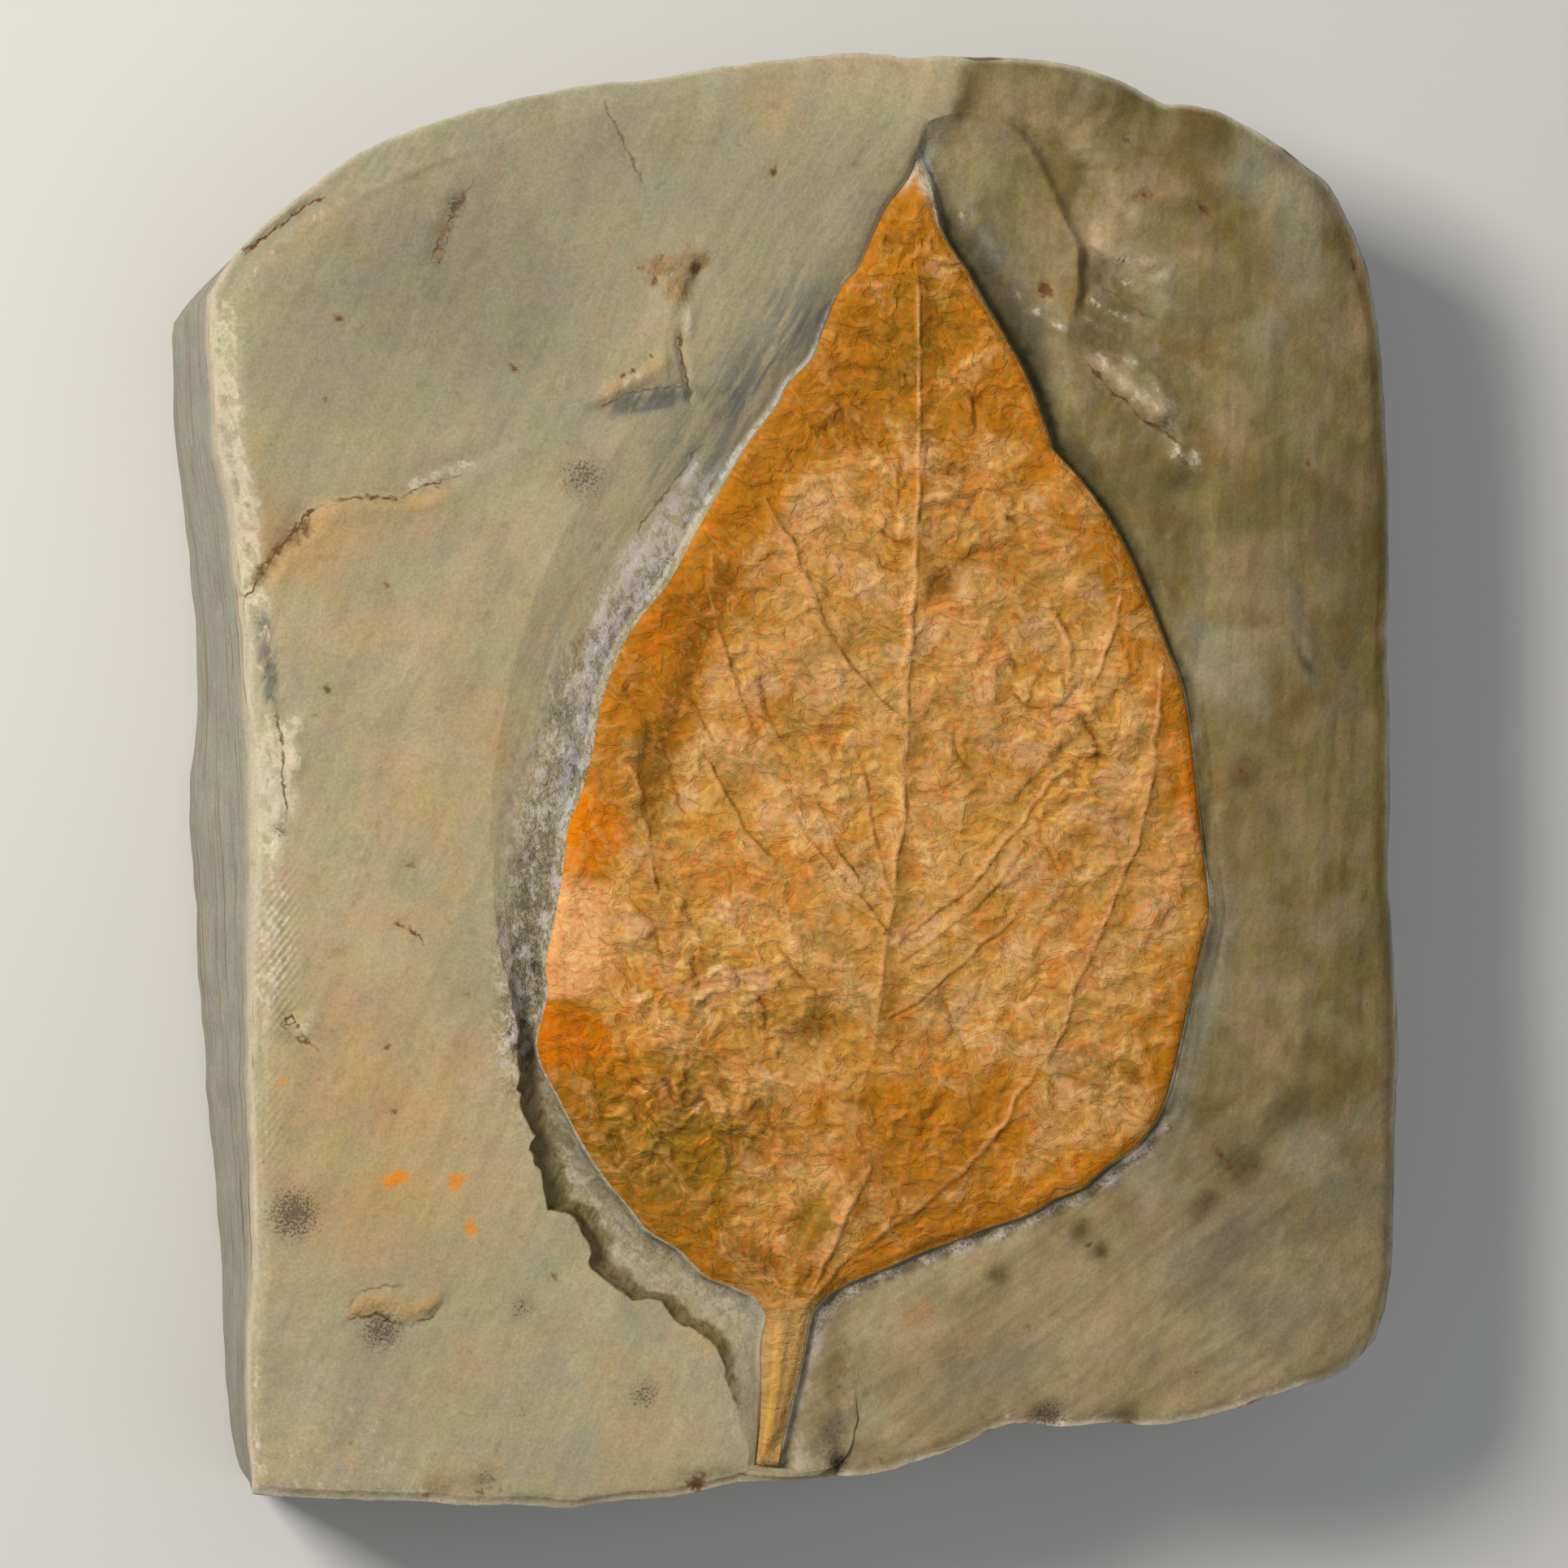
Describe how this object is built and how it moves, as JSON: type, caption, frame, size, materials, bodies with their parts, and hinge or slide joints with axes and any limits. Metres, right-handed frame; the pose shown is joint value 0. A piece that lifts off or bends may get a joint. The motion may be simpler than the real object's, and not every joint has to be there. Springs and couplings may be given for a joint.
{
  "type": "fossil leaf",
  "caption": "Orange-stained fossil leaf with veins and stalk, standing in low relief on a carved block of grey-tan laminated mudstone that lies on its flat back.",
  "frame": {"origin": "middle of the block's box, on the flat back that it lies on", "axes": "+Z out of the leaf's face, +Y along the block from the stalk to the tip, +X across the leaf to its right"},
  "size_m": [0.1066, 0.1252, 0.027],
  "materials": {
    "mudstone": "matte, smoothly carved, with fine tool marks and earthy stains",
    "leaf_stain": "satin, wrinkled, iron-stained orange to ochre"
  },
  "bodies": {
    "root": {"matrix_slab": "mudstone", "leaf": "leaf_stain"}
  },
  "joints": []
}
